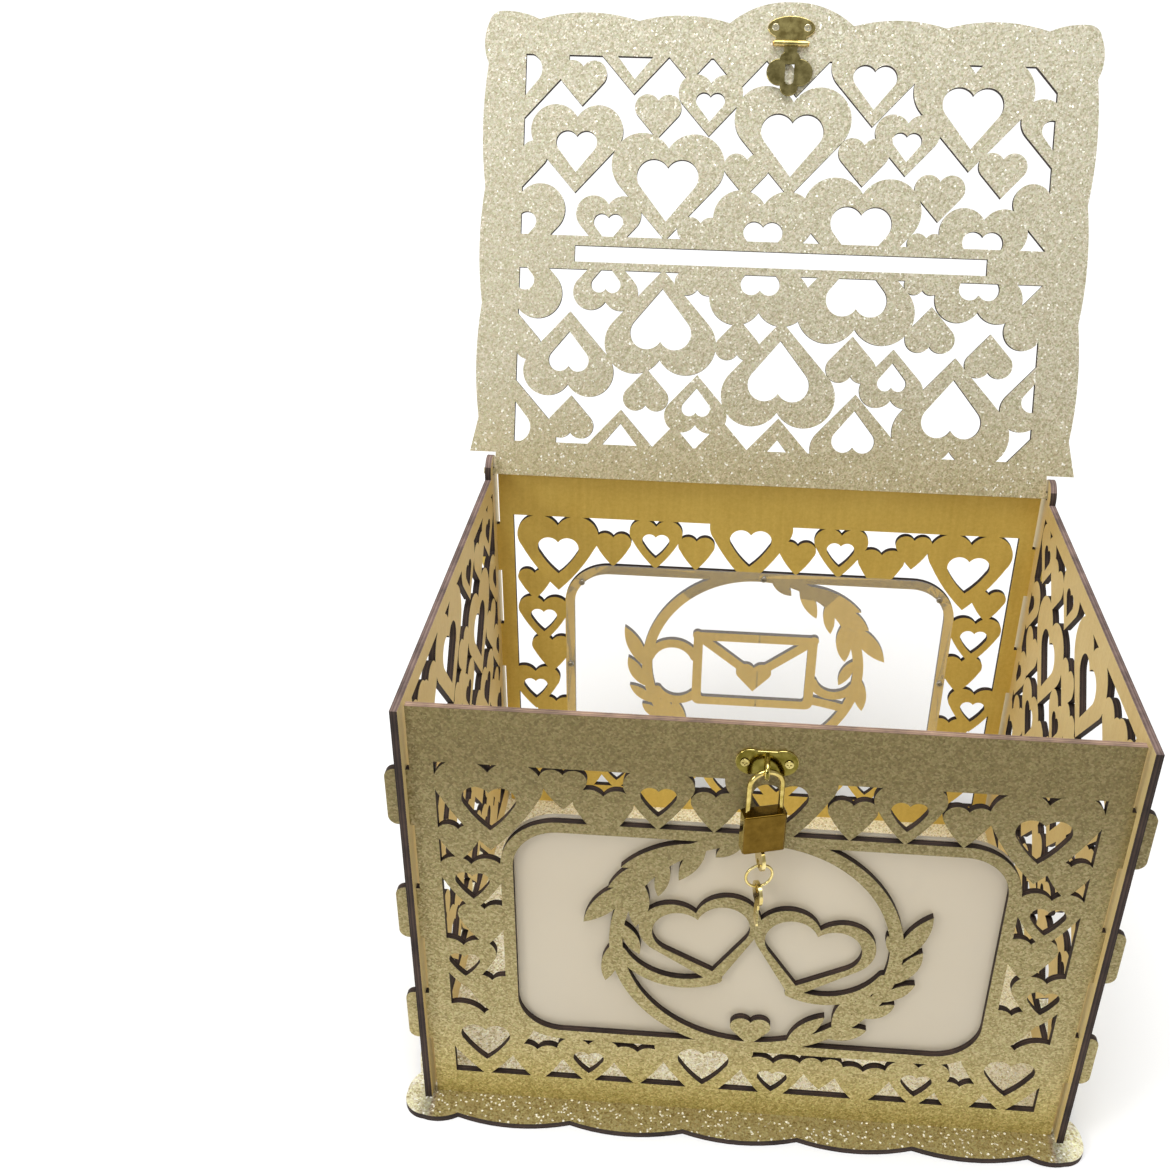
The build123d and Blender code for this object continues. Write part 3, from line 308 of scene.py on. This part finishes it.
# Painted shade and a painted reflection of the front wall darken the base strip in front of it
BASE_FRONT_PAINTED_SHADE = ("Y", -130 * MM, 130 * MM, [
    (0.0, (0.39, 0.335, 0.18)), (0.094, (0.36, 0.3, 0.15)), (0.105, WHITE),
])
# Painted highlight: the base's ends are lighter, which lifts the front strip's painted shade there
BASE_ENDS_PAINTED_HIGHLIGHT = ("X", -160 * MM, 160 * MM, [
    (0.0, (0.8, 0.78, 0.68)), (0.05, (0.8, 0.78, 0.68)), (0.09, BLACK),
    (0.91, BLACK), (0.95, (1, 1, 0.9)), (1.0, (1, 1, 0.9)),
])
# One glitter paper in three copies: the lighter tones of the lid and base are painted light, and the
# walls' darker tones and missing glints are painted shade
lid_paper_painted_light = glitter(
    "glitter_lid", ((0.38, 0.34, 0.22), (0.58, 0.54, 0.4), (0.76, 0.73, 0.6)), 0.03,
    [LID_PAINTED_SHADE]
)
wall_paper_painted_shade = glitter(
    "glitter_walls", ((0.3, 0.238, 0.08), (0.486, 0.397, 0.168), (0.7, 0.6, 0.32)), 0.0,
    [WALL_PAINTED_SHADE], 0.3, 0.35
)
base_paper_painted_light = glitter(
    "glitter_base", ((0.45, 0.38, 0.2), (0.85, 0.8, 0.6), (1, 0.98, 0.88)), 0.06,
    [BASE_FRONT_PAINTED_SHADE, BASE_ENDS_PAINTED_HIGHLIGHT], 0.4, 0.35
)
gold_back = gold_paint("gold_paint_back", (0.56, 0.38, 0.07), (0.78, 0.58, 0.15))
# The sides' paint is the back's gold made lighter and paler: a painted sheen
gold_sides_painted_sheen = gold_paint("gold_paint_sides", (0.72, 0.53, 0.21), (0.88, 0.72, 0.36))


def sheet_middle(node, axis):
    """Middle of a sheet's thickness along an axis."""
    low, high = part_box(node)
    return (low[axis] + high[axis]) / 2


def dress_sheet(node, normal, middle, out_material, in_material, lit_rim_colours):
    """Glitter outside, paint inside and scorched edges, with a painted highlight on the upward top
    edges, by the way each face looks.
    """
    edge = cut_edge("edge_" + node, tuple(normal), middle, BURNT, WOOD)
    lit_rim = cut_edge("rim_" + node, tuple(normal), middle, *lit_rim_colours)
    mesh = nodes[node].data
    mesh.materials.clear()
    for material in (out_material, in_material, edge, lit_rim):
        mesh.materials.append(material)
    top = max(vertex.co.z for vertex in mesh.vertices)
    for face in mesh.polygons:
        along = face.normal.dot(normal)
        on_lit_rim = face.normal.z > 0.5 and face.center.z > top - LIT_RIM_BAND
        if along > FLAT:
            face.material_index = 0
        elif along < -FLAT:
            face.material_index = 1
        else:
            face.material_index = 3 if on_lit_rim else 2


for node, normal, axis, paper, paint, lit_rim_colours in (
    ("front_wall", -Y, 1, wall_paper_painted_shade, gold_back, FRONT_LIT_RIM),
    ("back_wall", Y, 1, wall_paper_painted_shade, gold_back, FRONT_LIT_RIM),
    ("left_wall", -X, 0, wall_paper_painted_shade, gold_sides_painted_sheen, SIDE_LIT_RIM),
    ("right_wall", X, 0, wall_paper_painted_shade, gold_sides_painted_sheen, SIDE_LIT_RIM),
    ("base_plate", Z, 2, base_paper_painted_light, gold_sides_painted_sheen, SIDE_LIT_RIM),
):
    middle = normal[axis] * sheet_middle(node, axis)
    dress_sheet(node, normal, middle, paper, paint, lit_rim_colours)
dress_sheet("lid_panel", LID_OUT, LID_OUT.dot(PIVOT), lid_paper_painted_light, lid_paper_painted_light, SIDE_LIT_RIM)


# ---------------------------------------------------------------- panes, brass and screws
def dress(node, material):
    """One material all over a node."""
    mesh = nodes[node].data
    mesh.materials.clear()
    mesh.materials.append(material)


front_milky = acrylic("milky_acrylic_front", (0.7, 0.62, 0.48), (0.76, 0.69, 0.56), 0.45)
# The back pane glows: painted light standing in for daylight through the sheet
back_milky = acrylic("milky_acrylic_back", (0.98, 0.97, 0.95), (0.99, 0.99, 0.98), 0.0, 0.09, 0.35)
leaf_brass = brass("leaf_brass", (0.32, 0.25, 0.08), (0.66, 0.56, 0.22), (0.12, 0.26))
flap_shaded_brass = brass("flap_shaded_brass", (0.22, 0.18, 0.06), (0.46, 0.39, 0.16), (0.12, 0.26))
# Cream brass for the hasp leaf's rims and knuckles: painted highlight
knuckle_highlight_brass = brass("knuckle_highlight_brass", (0.85, 0.64, 0.28), (0.98, 0.84, 0.5), (0.14, 0.24))
pin_brass = brass("pin_brass", (0.6, 0.36, 0.08), (0.85, 0.56, 0.18), (0.14, 0.24))
# Dark brass for the staple's flats: painted shade standing in for a dark reflection
staple_shaded_brass = brass("staple_shaded_brass", (0.1, 0.08, 0.01), (0.22, 0.18, 0.04), (0.06, 0.16))
# Bright brass for the staple's rims and the padlock's sides: painted highlight
highlight_brass = brass("highlight_brass", (0.62, 0.5, 0.14), (0.86, 0.74, 0.3), (0.08, 0.2))
# Dark brass for the padlock's other faces: painted shade standing in for a dark reflection
lock_brass = brass("lock_brass", (0.11, 0.063, 0.008), (0.16, 0.095, 0.015), (0.14, 0.28))
shackle_brass = brass("shackle_brass", (0.38, 0.28, 0.06), (0.7, 0.56, 0.2), (0.08, 0.18))
key_brass = brass("key_brass", (0.62, 0.48, 0.15), (0.85, 0.72, 0.34), (0.15, 0.3))
pale_brass = brass("pale_brass", (0.75, 0.68, 0.45), (0.95, 0.9, 0.7), (0.15, 0.3))
screw_steel = brass("screw_steel", (0.32, 0.3, 0.26), (0.55, 0.52, 0.46), (0.25, 0.45))

dress("front_pane", front_milky)
dress("back_pane", back_milky)
dress("hasp_pin", pin_brass)
dress("padlock_shackle", shackle_brass)
dress("hasp_leaf_screws", pale_brass)
dress("staple_screws", leaf_brass)
for node in ("lock_key", "key_ring", "spare_key"):
    dress(node, key_brass)
for node in ("front_pane_screws", "back_pane_screws", "padlock_latch", "latch_spring", "shackle_spring"):
    dress(node, screw_steel)

FLAT_BRASS = 0.8                     # the same as FLAT, for the rounder brass pieces


def dress_flats(node, flat_material, rim_material, facing):
    """One brass on the flats that look along `facing`, either way, and one on the rest."""
    dress(node, flat_material)
    mesh = nodes[node].data
    mesh.materials.append(rim_material)
    for face in mesh.polygons:
        face.material_index = int(abs(face.normal.dot(facing)) < FLAT_BRASS)


# The flap is one brass throughout: its flats and its edges look alike, darkened as painted shade
# standing in for a dark reflection
# Painted highlight on the leaf's rims and knuckles
dress_flats("hasp_leaf", leaf_brass, knuckle_highlight_brass, LID_OUT)
dress_flats("hasp_flap", flap_shaded_brass, flap_shaded_brass, LID_OUT)
# Painted shade on the staple's flats, painted highlight on its rims
dress_flats("staple", staple_shaded_brass, highlight_brass, Y)
# Painted highlight on the padlock's and plug's sides, painted shade on their other faces
for node in ("padlock_body", "lock_plug"):
    dress_flats(node, highlight_brass, lock_brass, X)


# ---------------------------------------------------------------- camera
CAMERA_PLACE = Vector((-0.02136, -0.50895, 0.49499))
CAMERA_YAW = math.radians(4.045)
CAMERA_PITCH = math.radians(59.863)
CAMERA_ROLL = math.radians(0.89)
SENSOR_MM = 36
FOCAL_MM = 41.11
SHIFT = (-0.0429, 0.0138)
FAR = 50

lens = bpy.data.cameras.new("camera")
lens.sensor_width = SENSOR_MM
lens.lens = FOCAL_MM
lens.shift_x, lens.shift_y = SHIFT
lens.clip_end = FAR
camera = bpy.data.objects.new("camera", lens)
scene.collection.objects.link(camera)
camera.matrix_world = (
    Matrix.Translation(CAMERA_PLACE)
    @ Matrix.Rotation(CAMERA_YAW, 4, "Z")
    @ Matrix.Rotation(CAMERA_PITCH, 4, "X")
    @ Matrix.Rotation(CAMERA_ROLL, 4, "Z")
)
scene.camera = camera


# ---------------------------------------------------------------- stage and light
FLOOR_HALF = 15.0
FLOOR_WHITE = 0.92
WORLD_STRENGTH = 0.42
SUN_STRENGTH = 2.7
SUN_SPREAD = math.radians(50)
SUN_WAY = Vector((0.05, 0.14, -0.99))
LAMP_PLACE = Vector((-1.0, -0.9, 0.75))
LAMP_TARGET = Vector((0, 0, 0.2))
LAMP_SIZE = 0.35
LAMP_WATTS = 5

scene.view_settings.view_transform = "Standard"

floor_mesh = bpy.data.meshes.new("floor")
floor_mesh.from_pydata(
    [(-FLOOR_HALF, -FLOOR_HALF, 0), (FLOOR_HALF, -FLOOR_HALF, 0),
     (FLOOR_HALF, FLOOR_HALF, 0), (-FLOOR_HALF, FLOOR_HALF, 0)], [], [(0, 1, 2, 3)]
)
floor = bpy.data.objects.new("floor", floor_mesh)
scene.collection.objects.link(floor)
floor_material, tree, links = new_material("pale_floor")
shader(tree, links, Base_Color=(FLOOR_WHITE, FLOOR_WHITE, FLOOR_WHITE, 1), Roughness=0.8)
floor_mesh.materials.append(floor_material)

world = bpy.data.worlds.new("studio")
world.use_nodes = True
background = world.node_tree.nodes["Background"]
background.inputs["Color"].default_value = (1, 1, 1, 1)
background.inputs["Strength"].default_value = WORLD_STRENGTH
scene.world = world

sky = bpy.data.lights.new("sky", "SUN")
sky.energy = SUN_STRENGTH
sky.angle = SUN_SPREAD
overhead = bpy.data.objects.new("overhead", sky)
scene.collection.objects.link(overhead)
overhead.rotation_euler = SUN_WAY.to_track_quat("-Z", "Y").to_euler()

lamp = bpy.data.lights.new("left_front", "AREA")
lamp.shape = "SQUARE"
lamp.size = LAMP_SIZE
lamp.energy = LAMP_WATTS
left_front = bpy.data.objects.new("left_front", lamp)
scene.collection.objects.link(left_front)
left_front.location = LAMP_PLACE
left_front.rotation_euler = (LAMP_TARGET - LAMP_PLACE).to_track_quat("-Z", "Y").to_euler()
